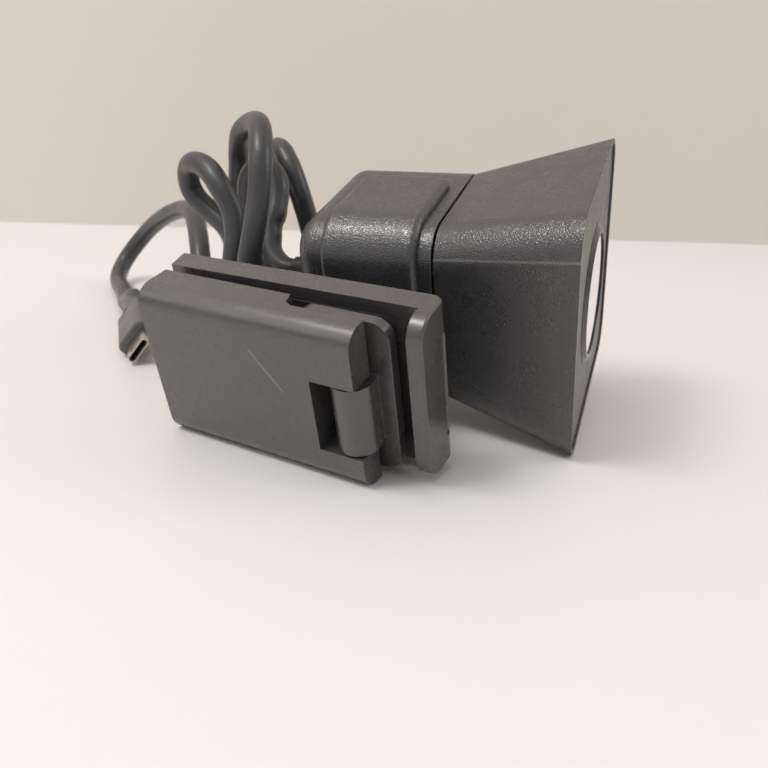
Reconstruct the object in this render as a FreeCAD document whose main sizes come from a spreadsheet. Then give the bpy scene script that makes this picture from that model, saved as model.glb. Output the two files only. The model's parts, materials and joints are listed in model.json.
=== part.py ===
import FreeCAD, Part
import math
import os
import re

import Sketcher

# A USB webcam with a folding monitor clip, lying on its side on a table with its cable bundled behind it.
# The head's own axes: X runs forward along the lens, Y from the clip's side of the head to its far side,
# and Z across the width of the clip. Their origin is the centre of the head's front rim.

SIZES = {
    # How the whole object lies on the table, in degrees
    "lie_roll": 13.83,
    "lie_pitch": 2.38,
    # Head
    "face_width": 58.0,
    "face_height": 57.0,
    "face_corner": 7.6,
    "flare_depth": 31.4,
    "rear_size": 43.8,
    "rear_corner": 8.0,
    "shell_wall": 1.6,
    "rim_wall": 1.0,
    "rim_proud": 0.6,
    "fascia_thick": 1.5,
    "seam_gap": 0.6,
    "rear_length": 27.1,
    "cap_length": 5.4,
    "cap_round": 5.0,
    "boss_place": 16.4,
    "boss_radius": 3.4,
    "shell_screw_length": 34.0,
    # Lens
    "ring_base_radius": 16.6,
    "ring_top_radius": 14.7,
    "ring_proud": 0.9,
    "ring_stem_radius": 15.2,
    "glass_radius": 14.0,
    "glass_sunk": 0.35,
    "glass_thick": 1.1,
    "glass_seat_radius": 12.4,
    "microphone_z": 22.5,
    "barrel_radius": 6.0,
    "board_height": 38.0,
    "board_width": 25.6,
    "board_thick": 1.2,
    "sensor_board_x": -22.0,
    "main_board_x": -34.5,
    # Cradle
    "cradle_wall": 2.0,
    "cradle_front": -35.0,
    "cradle_back": -57.2,
    "cradle_reach": 8.6,
    "cradle_corner": 10.0,
    "cradle_round": 1.7,
    # Tilt joint between the cradle and the clip
    "tilt_x": -46.0,
    "tilt_y": -30.0,
    "tilt_rest": 8.55,
    "tilt_barrel": 4.2,
    "tilt_pin_radius": 1.75,
    "neck_half": 8.0,
    "tilt_gap": 0.5,
    "ear_thick": 4.0,
    # Clip: distances from the tilt axis, forward along the plate and away from the leg's side
    "clip_width": 37.8,
    "clip_shift": -1.05,
    "plate_top": -4.9,
    "plate_thick": 6.0,
    "plate_back": -40.4,
    "lip_front": 23.6,
    "lip_thick": 3.3,
    "lip_drop": 6.1,
    "lip_round": 3.2,
    # Leg: distances from its hinge axis
    "leg_hinge_u": -36.5,
    "leg_hinge_v": -16.0,
    "leg_rest": 1.3,
    "leg_back": -3.4,
    "leg_front": 49.2,
    "leg_inner": 2.5,
    "leg_outer": -7.5,
    "leg_wall": 1.8,
    "leg_round": 4.6,
    "leg_hollow_start": 5.5,
    "leg_hollow_end": 29.0,
    "leg_pin_radius": 1.5,
    "leg_lug_radius": 2.5,
    "leg_lug_in": 9.0,
    "leg_lug_thick": 4.0,
    # Foot: distances from its hinge axis
    "foot_hinge_p": 46.0,
    "foot_hinge_q": -2.9,
    "foot_back": -14.4,
    "foot_front": 7.4,
    "foot_low": 3.2,
    "foot_thick": 2.5,
    "foot_half": 17.6,
    "foot_corner": 4.0,
    "foot_pin_radius": 1.2,
    "knuckle_radius": 4.5,
    "slot_top": 6.45,
    "slot_bottom": -10.5,
    "slot_back": 38.9,
    "notch_start": 30.0,
    "notch_depth": 3.8,
    # Pads and fits
    "pad_thick": 0.8,
    "running_gap": 0.05,
    # Cable, and the plug at its end: where it lies on the table and how it is turned, in degrees
    "cable_radius": 3.0,
    "relief_end": -76.0,
    "plug_turn": -52.4,
    "plug_dip": 8.6,
    "plug_lean": -36.0,
    "plug_long": 8.25,
    "plug_short": 2.4,
    "plug_wall": 0.3,
    "plug_reach": 6.65,
    "grip_length": 17.0,
    "grip_long": 12.0,
    "grip_short": 6.8,
    "grip_tail": 6.0,
}

doc = FreeCAD.newDocument("Webcam")
V = FreeCAD.Vector


def make_sheet():
    sheet = doc.addObject("Spreadsheet::Sheet", "Sizes")
    for row, (word, number) in enumerate(SIZES.items(), start=1):
        sheet.set("A%d" % row, word)
        sheet.set("B%d" % row, str(number))
        sheet.setAlias("B%d" % row, word)
    doc.addObject("Spreadsheet::Sheet", "Sums")
    doc.recompute()


def named(rule):
    """The rule with each size word pointed at its cell in the sheet."""
    return re.sub(r"[a-z][a-z_]+", lambda word: "Sizes." + word.group(), str(rule))


def bind(thing, prop, rule):
    thing.setExpression(prop, named(rule))


# ---------------------------------------------------------------- primitives and booleans

ALONG_X = FreeCAD.Rotation(V(0, 1, 0), 90)
ALONG_Y = FreeCAD.Rotation(V(1, 0, 0), -90)
ALONG_Z = FreeCAD.Rotation()


def put(thing, place, turn=ALONG_Z):
    thing.Placement = FreeCAD.Placement(V(), turn)
    for letter, rule in zip("xyz", place):
        bind(thing, "Placement.Base." + letter, rule)
    return thing


def block(name, size, middle):
    """A box by its size and its middle."""
    box = doc.addObject("Part::Box", name)
    for prop, rule in zip(("Length", "Width", "Height"), size):
        bind(box, prop, rule)
    corner = ["(%s) - (%s) / 2" % pair for pair in zip(middle, size)]
    return put(box, corner)


def rod(name, radius, length, start, turn=ALONG_Z):
    cylinder = doc.addObject("Part::Cylinder", name)
    bind(cylinder, "Radius", radius)
    bind(cylinder, "Height", length)
    return put(cylinder, start, turn)


def fuse(name, things):
    both = doc.addObject("Part::MultiFuse", name)
    both.Shapes = things
    both.Refine = True
    return both


def cut(name, base, tools):
    tool = tools[0] if len(tools) == 1 else fuse(name + "_tools", tools)
    result = doc.addObject("Part::Cut", name)
    result.Base = base
    result.Tool = tool
    return result


def group(name, things):
    """Separate solids that share one node."""
    result = doc.addObject("Part::Compound", name)
    result.Links = things
    return result


def tube(name, outer, inner, length, start, turn=ALONG_Z):
    hole = rod(name + "_hole", inner, length, start, turn)
    return cut(name, rod(name + "_rod", outer, length, start, turn), [hole])


# ---------------------------------------------------------------- PartDesign bodies


def new_body(name):
    body = doc.addObject("PartDesign::Body", name)
    body.Label = name
    return body


def sketch(body, role, offset="0"):
    """An empty sketch on one of the body's own origin planes."""
    plane = next(p for p in body.Origin.OriginFeatures if p.Role == role)
    result = body.newObject("Sketcher::SketchObject", body.Name + "_sketch")
    result.AttachmentSupport = (plane, [""])
    result.MapMode = "FlatFace"
    bind(result, "AttachmentOffset.Base.z", offset)
    return result


def pin_point(sk, element, point, place):
    for kind, rule in zip(("DistanceX", "DistanceY"), place):
        index = sk.addConstraint(Sketcher.Constraint(kind, -1, 1, element, point, amount(rule)))
        bind(sk, "Constraints[%d]" % index, rule)


def polygon(sk, corners):
    """A closed outline whose every corner is bound to the sheet."""
    count = len(corners)
    spokes = [V(1, 0, 0)]
    turn = FreeCAD.Rotation(V(0, 0, 1), 360.0 / count)
    for _ in range(count - 1):
        spokes.append(turn.multVec(spokes[-1]))
    first = sk.GeometryCount
    for i in range(count):
        sk.addGeometry(Part.LineSegment(spokes[i], spokes[(i + 1) % count]), False)
    for i in range(count):
        after = first + (i + 1) % count
        sk.addConstraint(Sketcher.Constraint("Coincident", first + i, 2, after, 1))
        pin_point(sk, first + i, 1, corners[i])
    return sk


def amount(rule):
    """What a rule comes to, worked out in a sheet kept for sums."""
    doc.Sums.set("A1", "=" + named(rule))
    doc.Sums.recompute()
    return float(doc.Sums.get("A1"))


def rounded(sk, width, height, corner, middle=("0", "0")):
    """A rectangle with round corners: an arc for each corner, tangent to the sides it joins."""
    half = (amount(width) / 2, amount(height) / 2)
    centre = (amount(middle[0]), amount(middle[1]))
    radius = amount(corner)
    arcs = []
    for quarter, (across, along) in enumerate([(1, 1), (-1, 1), (-1, -1), (1, -1)]):
        hub = V(centre[0] + across * (half[0] - radius), centre[1] + along * (half[1] - radius), 0)
        begin = math.radians(90 * quarter)
        arc = Part.ArcOfCircle(Part.Circle(hub, V(0, 0, 1), radius), begin, begin + math.pi / 2)
        arcs.append(sk.addGeometry(arc, False))
        place = (
            "%s + %d * ((%s) / 2 - (%s))" % (middle[0], across, width, corner),
            "%s + %d * ((%s) / 2 - (%s))" % (middle[1], along, height, corner),
        )
        pin_point(sk, arcs[-1], 3, place)
        index = sk.addConstraint(Sketcher.Constraint("Radius", arcs[-1], radius))
        bind(sk, "Constraints[%d]" % index, corner)
    for i, arc in enumerate(arcs):
        after = arcs[(i + 1) % 4]
        ends = (sk.Geometry[arc].EndPoint, sk.Geometry[after].StartPoint)
        side = sk.addGeometry(Part.LineSegment(*ends), False)
        sk.addConstraint(Sketcher.Constraint("Tangent", arc, 2, side, 1))
        sk.addConstraint(Sketcher.Constraint("Tangent", side, 2, after, 1))
    return sk


def circle(sk, place, radius):
    element = sk.addGeometry(Part.Circle(V(1, 1, 0), V(0, 0, 1), 1.0), False)
    pin_point(sk, element, 3, place)
    index = sk.addConstraint(Sketcher.Constraint("Radius", element, 1.0))
    bind(sk, "Constraints[%d]" % index, radius)
    return sk


def feature(body, kind, profile, **settings):
    check_tip(body)
    result = body.newObject("PartDesign::" + kind, body.Name + "_" + kind.lower())
    result.Profile = profile
    for prop, setting in settings.items():
        setattr(result, prop, setting)
    profile.Visibility = False
    return result


def pad(body, profile, length, midplane=False, backward=False):
    result = feature(body, "Pad", profile, Midplane=midplane, Reversed=backward)
    bind(result, "Length", length)
    return result


def pocket(body, profile, length, midplane=False, backward=False):
    """A pocket, which has to take something away."""
    check_tip(body)
    before = body.Tip.Shape.Volume
    result = feature(body, "Pocket", profile, Midplane=midplane, Reversed=not backward)
    bind(result, "Length", length)
    doc.recompute()
    if result.Shape.Volume > before - 0.001:
        raise ValueError(body.Label + ": a pocket cuts nothing")
    return result


def check_tip(body):
    """Stop at the first feature that did not build."""
    doc.recompute()
    tip = body.Tip
    if tip and (not tip.isValid() or tip.Shape.isNull()):
        raise ValueError("%s: %s %s" % (body.Label, tip.Name, tip.getStatusString()))


def loft(body, kind, profile, end):
    return feature(body, kind, profile, Sections=[end], Ruled=True)


def spun(name, corners, turned_on="X"):
    """A turned piece: its half profile lies in the XY plane and turns about X or Y."""
    body = new_body(name)
    sk = polygon(sketch(body, "XY_Plane"), corners)
    axis = "H_Axis" if turned_on == "X" else "V_Axis"
    feature(body, "Revolution", sk, ReferenceAxis=(sk, [axis]), Angle=360.0)
    return body


def prism(name, corners, width):
    """A profile in the XY plane, as wide to each side of it along Z."""
    body = new_body(name)
    pad(body, polygon(sketch(body, "XY_Plane"), corners), width, midplane=True)
    return body


def round_edges(body, radius, chosen, kind="Fillet"):
    """Round or chamfer those edges of the body's tip that the test picks."""
    check_tip(body)
    base = body.Tip
    names = ["Edge%d" % (i + 1) for i, e in enumerate(base.Shape.Edges) if chosen(e)]
    result = body.newObject("PartDesign::" + kind, body.Name + "_" + kind.lower())
    result.Base = (base, names)
    bind(result, "Radius" if kind == "Fillet" else "Size", radius)
    return result


def runs_along(edge, axis, slack=0.97):
    if len(edge.Vertexes) != 2:
        return False
    run = edge.Vertexes[1].Point.sub(edge.Vertexes[0].Point)
    straight = abs(run.Length - edge.Length) < 0.001
    return straight and abs(run.dot(axis)) > slack * run.Length


def near(value, target, slack=0.05):
    return abs(value - target) < slack


# ---------------------------------------------------------------- frames of the moving groups


def turned(axis, angle, place=V()):
    return FreeCAD.Placement(place, FreeCAD.Rotation(axis, angle))


S = SIZES
X, Y, Z = V(1, 0, 0), V(0, 1, 0), V(0, 0, 1)
HEAD = turned(Y, -S["lie_pitch"]).multiply(turned(X, S["lie_roll"]))
CLAMP = HEAD.multiply(turned(Z, -S["tilt_rest"], V(S["tilt_x"], S["tilt_y"], S["clip_shift"])))
LEG = CLAMP.multiply(turned(Z, -S["leg_rest"], V(S["leg_hinge_u"], S["leg_hinge_v"], 0)))
FOOT = LEG.multiply(turned(Z, 0, V(S["foot_hinge_p"], S["foot_hinge_q"], 0)))
PLUG_MOUTH = V(-120, -11, -28.7)
PLUG_LEANT = turned(Y, S["plug_dip"]).multiply(turned(X, S["plug_lean"]))
PLUG = turned(Z, S["plug_turn"], PLUG_MOUTH).multiply(PLUG_LEANT)

nodes = []


def node(thing, frame):
    """Make this object one named piece of the webcam, in its group's frame."""
    thing.Label = thing.Name
    thing.Placement = frame
    nodes.append(thing)


BOSSES = [(a, b) for a in ("boss_place", "-boss_place") for b in ("boss_place", "-boss_place")]
BOARD_CORNERS = [(a, b) for a in ("17", "-17") for b in ("10.8", "-10.8")]
LIGHT_PLACE = ("-1.5", "-15.65")

# ---------------------------------------------------------------- head


def front_shell():
    """The flared square front, hollow, with screw bosses and a shallow recess for the fascia."""
    body = new_body("front_shell")
    back = "-flare_depth"
    rim = sketch(body, "YZ_Plane")
    rounded(rim, "face_height", "face_width", "face_corner")
    waist = sketch(body, "YZ_Plane", back)
    rounded(waist, "rear_size", "rear_size", "rear_corner")
    loft(body, "AdditiveLoft", rim, waist)

    recess = sketch(body, "YZ_Plane")
    rounded(recess, "face_height - 2 * rim_wall", "face_width - 2 * rim_wall", "face_corner - rim_wall")
    pocket(body, recess, "rim_proud + fascia_thick", backward=True)

    ledge = " - 2 * (rim_wall + 1.4)"
    start = sketch(body, "YZ_Plane", "-rim_proud - fascia_thick")
    rounded(start, "face_height" + ledge, "face_width" + ledge, "face_corner - 2.4")
    room = "rear_size - 2 * shell_wall"
    end = sketch(body, "YZ_Plane", back)
    rounded(end, room, room, "rear_corner - shell_wall")
    loft(body, "SubtractiveLoft", start, end)

    bosses = sketch(body, "YZ_Plane", back)
    for place in BOSSES:
        circle(bosses, place, "boss_radius")
    pad(body, bosses, "12")
    bores = sketch(body, "YZ_Plane", back)
    for place in BOSSES:
        circle(bores, place, "1.05")
    pocket(body, bores, "10")
    node(body, HEAD)


def front_fascia():
    """The speckled plate inside the rim, with the lens opening and a port for each microphone."""
    body = new_body("front_fascia")
    play = " - 2 * (rim_wall + running_gap)"
    plate = sketch(body, "YZ_Plane", "-rim_proud")
    rounded(plate, "face_height" + play, "face_width" + play, "face_corner - rim_wall")
    circle(plate, ("0", "0"), "ring_stem_radius + running_gap")
    for side in ("-", ""):
        circle(plate, ("0", side + "microphone_z"), "0.5")
    pad(body, plate, "fascia_thick", backward=True)
    light_way = circle(sketch(body, "YZ_Plane"), LIGHT_PLACE, "0.5")
    pocket(body, light_way, "rim_proud + fascia_thick + 0.1", backward=True)
    node(body, HEAD)


def lens_window():
    face = "-rim_proud"
    top = "ring_proud - rim_proud"
    stem_back = "-rim_proud - fascia_thick - 2"
    seat = "ring_proud - rim_proud - glass_sunk - glass_thick"
    ring = spun(
        "lens_ring",
        [
            (top, "glass_radius + running_gap"),
            (top, "ring_top_radius"),
            (face, "ring_base_radius"),
            (face, "ring_stem_radius"),
            (stem_back, "ring_stem_radius"),
            (stem_back, "glass_seat_radius"),
            (seat, "glass_seat_radius"),
            (seat, "glass_radius + running_gap"),
        ],
    )
    doc.recompute()
    light_hole = sketch(ring, "YZ_Plane", top)
    circle(light_hole, LIGHT_PLACE, "0.5")
    pocket(ring, light_hole, "4", backward=True)
    node(ring, HEAD)
    glass = spun(
        "cover_glass",
        [
            (seat, "0"),
            (seat, "glass_radius"),
            ("(%s) + glass_thick - 0.15" % seat, "glass_radius"),
            ("(%s) + glass_thick" % seat, "glass_radius - 0.15"),
            ("(%s) + glass_thick" % seat, "0"),
        ],
    )
    node(glass, HEAD)
    pipe = rod("status_light_pipe", "0.45", "3", ("-3.4", *LIGHT_PLACE), ALONG_X)
    node(group("status_light", [pipe]), HEAD)
    baffle = spun(
        "lens_baffle",
        [
            ("-1.4", "glass_seat_radius - running_gap"),
            ("-2.4", "glass_seat_radius - running_gap"),
            ("-6.2", "barrel_radius + 1.1"),
            ("-6.2", "barrel_radius + 0.1"),
            ("-5.4", "barrel_radius + 0.1"),
            ("-1.4", "glass_seat_radius - 0.9"),
        ],
    )
    node(baffle, HEAD)


def lens_unit():
    barrel = spun(
        "lens_barrel",
        [
            ("-4.6", "3.6"),
            ("-4.6", "barrel_radius - 0.3"),
            ("-4.9", "barrel_radius"),
            ("-8", "barrel_radius"),
            ("-8", "5"),
            ("-17", "5"),
            ("-17", "3"),
            ("-7.2", "3"),
            ("-6.2", "3.6"),
        ],
    )
    node(barrel, HEAD)
    lens = new_body("front_lens")
    profile = polygon(sketch(lens, "XY_Plane"), [("-6.2", "0"), ("-6.2", "3.55"), ("-7", "2.9"), ("-7", "0")])
    feature(lens, "Revolution", profile, ReferenceAxis=(profile, ["H_Axis"]), Angle=360.0)
    node(lens, HEAD)
    holder_block = block("holder_block", ("9.8", "16", "16"), ("-16.9", "0", "0"))
    holder_bore = rod("holder_bore", "5.05", "8", ("-19", "0", "0"), ALONG_X)
    holder_room = block("holder_room", ("4", "12", "12"), ("-20.3", "0", "0"))
    node(cut("lens_holder", holder_block, [holder_bore, holder_room]), HEAD)
    filter_glass = block("filter_glass", ("0.4", "11", "11"), ("-18.6", "0", "0"))
    node(group("infrared_filter", [filter_glass]), HEAD)
    package = block("sensor_package", ("1.1", "9", "9"), ("sensor_board_x + 0.58", "0", "0"))
    well = block("sensor_well", ("0.4", "7.4", "7.4"), ("sensor_board_x + 1", "0", "0"))
    node(cut("image_sensor", package, [well]), HEAD)


def boards():
    """The sensor board and the main board behind it, joined by a connector and four screwed posts."""
    size = ("board_thick", "board_height", "board_width")
    for name, place in (("sensor_board", "sensor_board_x"), ("main_board", "main_board_x")):
        blank = block(name + "_blank", size, (place + " - board_thick / 2", "0", "0"))
        holes = [
            rod("%s_hole_%d" % (name, i), "1", "4", (place + " - 2", *corner), ALONG_X)
            for i, corner in enumerate(BOARD_CORNERS)
        ]
        node(cut(name, blank, holes), HEAD)
    space = "(sensor_board_x - main_board_x - board_thick)"
    middle = "(main_board_x + sensor_board_x - board_thick) / 2"
    link = block("link_block", (space + " - 0.1", "4", "16"), (middle, "-12", "0"))
    node(group("board_connector", [link]), HEAD)
    behind = "main_board_x - board_thick"
    can_block = block("can_block", ("2.4", "18", "18"), (behind + " - 1.2", "2", "0"))
    can_room = block("can_room", ("2.2", "17.4", "17.4"), (behind + " - 1", "2", "0"))
    node(cut("shield_can", can_block, [can_room]), HEAD)
    pad_block = block("thermal_block", ("1", "14", "14"), (behind + " - 2.95", "2", "0"))
    node(group("thermal_pad", [pad_block]), HEAD)
    plate = block("spreader_plate", ("1.5", "36", "22"), (behind + " - 4.25", "0", "0"))
    node(group("heat_spreader", [plate]), HEAD)
    posts = []
    for i, corner in enumerate(BOARD_CORNERS):
        shank = rod("post_%d" % i, "0.95", "1.9", ("sensor_board_x - board_thick - 0.6", *corner), ALONG_X)
        head = rod("post_head_%d" % i, "1.7", "0.8", ("sensor_board_x + 0.02", *corner), ALONG_X)
        column = rod("post_column_%d" % i, "1.6", space + " - 0.04", ("main_board_x + 0.02", *corner), ALONG_X)
        posts.append(fuse("board_post_%d" % i, [shank, head, column]))
    node(group("board_posts", posts), HEAD)


def microphones():
    """Two microphones behind the fascia, each in a soft gasket that seals it to its port."""
    back = "-rim_proud - fascia_thick"
    gaskets, capsules = [], []
    for i, side in enumerate(("", "-")):
        start = (back + " - 2.02", "0", side + "microphone_z")
        gaskets.append(tube("gasket_%d" % i, "2.3", "1.55", "2", start, ALONG_X))
        capsules.append(rod("capsule_%d" % i, "1.5", "1.2", start, ALONG_X))
    node(group("microphone_gaskets", gaskets), HEAD)
    node(group("microphones", capsules), HEAD)


def rear_shell():
    """The straight square rear half: a tube with a floor near its back end and four screw columns."""
    body = new_body("rear_shell")
    front = "-flare_depth - seam_gap"
    back = front + " - rear_length"
    outline = sketch(body, "YZ_Plane", front)
    rounded(outline, "rear_size", "rear_size", "rear_corner")
    pad(body, outline, "rear_length", backward=True)
    room = ("rear_size - 2 * shell_wall", "rear_size - 2 * shell_wall", "rear_corner - shell_wall")
    hollow = sketch(body, "YZ_Plane", front)
    rounded(hollow, *room)
    pocket(body, hollow, "rear_length - 3.2", backward=True)
    well = sketch(body, "YZ_Plane", back)
    rounded(well, *room)
    pocket(body, well, "1.6")
    columns = sketch(body, "YZ_Plane", back + " + 2")
    for place in BOSSES:
        circle(columns, place, "boss_radius")
    pad(body, columns, "rear_length - 2")
    bores = sketch(body, "YZ_Plane", back)
    for place in BOSSES:
        circle(bores, place, "1.15")
    pocket(body, bores, "rear_length + 1")
    cable_way = sketch(body, "YZ_Plane", back)
    circle(cable_way, ("0", "0"), "cable_radius + 0.6")
    pocket(body, cable_way, "4")
    node(body, HEAD)


def rear_cap():
    """The rounded lid of the rear, with a lip inside the shell and a hole for the strain relief."""
    body = new_body("rear_cap")
    start = "-flare_depth - seam_gap - rear_length"
    outline = sketch(body, "YZ_Plane", start)
    rounded(outline, "rear_size", "rear_size", "rear_corner")
    pad(body, outline, "cap_length", backward=True)
    doc.recompute()
    back_x = body.Tip.Shape.BoundBox.XMin
    round_edges(body, "cap_round", lambda e: near(e.BoundBox.XMax, back_x))
    inside = sketch(body, "YZ_Plane", start)
    room = "rear_size - 2 * shell_wall - 4"
    rounded(inside, room, room, "rear_corner - shell_wall")
    pocket(body, inside, "cap_length - 1.6", backward=True)
    lip = sketch(body, "YZ_Plane", start)
    lip_size = "rear_size - 2 * shell_wall - 2 * running_gap"
    rounded(lip, lip_size, lip_size, "rear_corner - shell_wall")
    rounded(lip, room, room, "rear_corner - shell_wall")
    pad(body, lip, "1.2")
    hole = sketch(body, "YZ_Plane", start)
    circle(hole, ("0", "0"), "cable_radius + 0.5")
    pocket(body, hole, "cap_length + 1", backward=True)
    screw_room = sketch(body, "YZ_Plane", start)
    for place in BOSSES:
        circle(screw_room, place, "2.3")
    pocket(body, screw_room, "1.3")
    node(body, HEAD)


def shell_screws():
    """Four long screws, from the rear shell's floor into the front shell's bosses."""
    head_start = "-flare_depth - seam_gap - rear_length + 0.2"
    screws = []
    for i, place in enumerate(BOSSES):
        head = rod("screw_head_%d" % i, "1.9", "1.35", (head_start, *place), ALONG_X)
        shank = rod("screw_shank_%d" % i, "1", "shell_screw_length", (head_start, *place), ALONG_X)
        slot = block("screw_slot_%d" % i, ("1.2", "2.6", "0.5"), (head_start, *place))
        screws.append(cut("shell_screw_%d" % i, fuse("screw_%d" % i, [head, shank]), [slot]))
    node(group("shell_screws", screws), HEAD)


# ---------------------------------------------------------------- cable

CABLE_RINGS = 190
RINGS_IN_SKIN = 12
# Waypoints of the cable's centre line from its strain relief to its plug, in the table's axes
CABLE_WAY = [
    # A small arch close behind the head
    (-81.2, 0.4, -2.2), (-84.3, 1.8, 0.8), (-85.6, 4.2, 5), (-85.7, 7, 9.7), (-86, 9.6, 14.2),
    (-87.7, 11.6, 18.6), (-91.9, 13.1, 20.7), (-96.3, 14.3, 19), (-98.2, 15, 14.5), (-98.3, 14.8, 8), (-98, 14, 2),
    (-97, 11, -10), (-94, 3, -19), (-88, -7, -21),
    # The tall loop
    (-84, -13, -13), (-83, -13, -1), (-82, -11, 9), (-82, -8, 18), (-83, -5, 26), (-87, 2, 32),
    (-93, 9, 32), (-99, 14, 29), (-103, 19, 21), (-104, 20, 12), (-103, 20, 1), (-100, 22, -10), (-93, 25, -17),
    # The loop beyond it
    (-86, 27, -14), (-83, 26, -5), (-84, 24, 5), (-86, 22, 14), (-89, 23, 20), (-94, 27, 24),
    (-100, 33, 22), (-105, 36, 17), (-108, 37, 8), (-109, 35, -5), (-109, 27, -18), (-107, 14, -27),
    # The loop leaning away from the head
    (-103, 3, -28), (-98, -5, -20), (-93, -6, -8), (-91.5, -4.5, 3), (-93, -2.5, 11), (-96.5, -2, 16.5),
    (-101, 0, 20.5), (-106.5, 3, 21.7), (-111.5, 6.8, 19.6), (-113, 9, 14.5), (-108, 9.5, 8.5), (-101, 8, 4),
    (-97.5, 6, -3), (-98.5, 3.5, -11), (-104, 5, -17), (-112, 12, -14),
    # The wide sweep over the table to the plug
    (-119, 21, -5), (-129, 34, 1), (-141, 46, 0), (-155, 56, -5), (-166, 62.5, -11), (-174.5, 65, -18),
    (-179, 62, -25), (-176.5, 54, -29.3), (-169, 45.5, -30), (-160.5, 37, -30), (-152, 27, -29.3),
]


def cable_line():
    """Points every few millimetres along the cable's centre line, each with the direction it runs in there."""
    start, leave = (HEAD.multVec(V(x, 0, 0)) for x in (-50, S["relief_end"] - 1))
    grip_end = -S["plug_reach"] - S["grip_length"] - S["grip_tail"]
    arrive = [PLUG.multVec(V(x, 0, 0)) for x in (grip_end - 5, grip_end, grip_end + 6)]
    way = [leave] + [V(*place) for place in CABLE_WAY] + arrive
    along = [0.0]
    for place, after in zip(way, way[1:]):
        along.append(along[-1] + place.distanceToPoint(after))
    first, last = leave.sub(start).normalize(), arrive[-1].sub(arrive[-2]).normalize()
    loops = Part.BSplineCurve()
    loops.interpolate(way, Parameters=along, InitialTangent=first, FinalTangent=last, Scale=False)
    line = [(place, first) for place in Part.makeLine(start, leave).discretize(Number=8)[:-1]]
    for place in loops.discretize(Number=CABLE_RINGS):
        line.append((place, loops.tangent(loops.parameter(place))[0]))
    return line


def cable():
    """The round cable: skins stretched over rings along its line, sewn to each other and closed by two discs."""
    line = cable_line()
    aim = line[0][1]
    turn = FreeCAD.Rotation(Z, aim)
    rings = []
    for place, direction in line:
        turn = FreeCAD.Rotation(aim, direction).multiply(turn)
        aim = direction
        ring = Part.Wire([Part.makeCircle(S["cable_radius"])])
        ring.Placement = FreeCAD.Placement(place, turn)
        rings.append(ring)
    faces = [Part.Face(rings[0]), Part.Face(rings[-1])]
    for first in range(0, len(rings) - 1, RINGS_IN_SKIN):
        faces += Part.makeLoft(rings[first:first + RINGS_IN_SKIN + 1], False, False, False, 3).Faces
    skin = Part.Compound(faces)
    skin.sewShape(0.001)
    thing = doc.addObject("Part::Feature", "cable")
    thing.Shape = Part.makeSolid(skin.Shells[0])
    node(thing, FreeCAD.Placement())


def strain_relief():
    boot = spun(
        "strain_relief",
        [
            ("-61.2", "cable_radius + 0.18"),
            ("-61.2", "cable_radius + 1.6"),
            ("-62.3", "cable_radius + 1.6"),
            ("-62.3", "cable_radius + 0.45"),
            ("-64.55", "cable_radius + 0.45"),
            ("-64.55", "cable_radius + 1.3"),
            ("relief_end", "cable_radius + 0.6"),
            ("relief_end", "cable_radius + 0.18"),
        ],
    )
    node(boot, HEAD)


def plug():
    """A USB-C plug: its metal shell with a plastic insert inside, and the soft grip it is moulded into."""
    shell = new_body("plug_shell")
    outline = sketch(shell, "YZ_Plane")
    rounded(outline, "plug_short", "plug_long", "plug_short / 2 - 0.02")
    room = ("plug_short - 2 * plug_wall", "plug_long - 2 * plug_wall", "plug_short / 2 - plug_wall - 0.02")
    rounded(outline, *room)
    pad(shell, outline, "plug_reach + 1.5", backward=True)
    node(shell, PLUG)
    insert = new_body("plug_insert")
    outline = sketch(insert, "YZ_Plane", "-0.3")
    fit = " - 2 * plug_wall - 0.04"
    rounded(outline, "plug_short" + fit, "plug_long" + fit, "plug_short / 2 - plug_wall - 0.04")
    pad(insert, outline, "plug_reach + 1", backward=True)
    slot = sketch(insert, "YZ_Plane", "-0.3")
    rounded(slot, "0.85", "6.8", "0.3")
    pocket(insert, slot, "5.3", backward=True)
    node(insert, PLUG)
    grip = new_body("plug_overmould")
    outline = sketch(grip, "YZ_Plane", "-plug_reach")
    rounded(outline, "grip_short", "grip_long", "2.6")
    pad(grip, outline, "grip_length", backward=True)
    doc.recompute()
    ends = (-S["plug_reach"], -S["plug_reach"] - S["grip_length"])
    round_edges(grip, "0.9", lambda e: any(near(e.BoundBox.XMin, x) and near(e.BoundBox.XMax, x) for x in ends))
    tail = circle(sketch(grip, "YZ_Plane", "-plug_reach - grip_length + 1"), ("0", "0"), "grip_short / 2 + 0.2")
    pad(grip, tail, "grip_tail + 1", backward=True)
    bore = sketch(grip, "YZ_Plane", "-plug_reach - grip_length - grip_tail")
    circle(bore, ("0", "0"), "cable_radius + 0.15")
    pocket(grip, bore, "7.5")
    seat = sketch(grip, "YZ_Plane", "-plug_reach")
    rounded(seat, "plug_short + 0.04", "plug_long + 0.04", "plug_short / 2")
    pocket(grip, seat, "1.5", backward=True)
    node(grip, PLUG)


# ---------------------------------------------------------------- cradle


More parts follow.
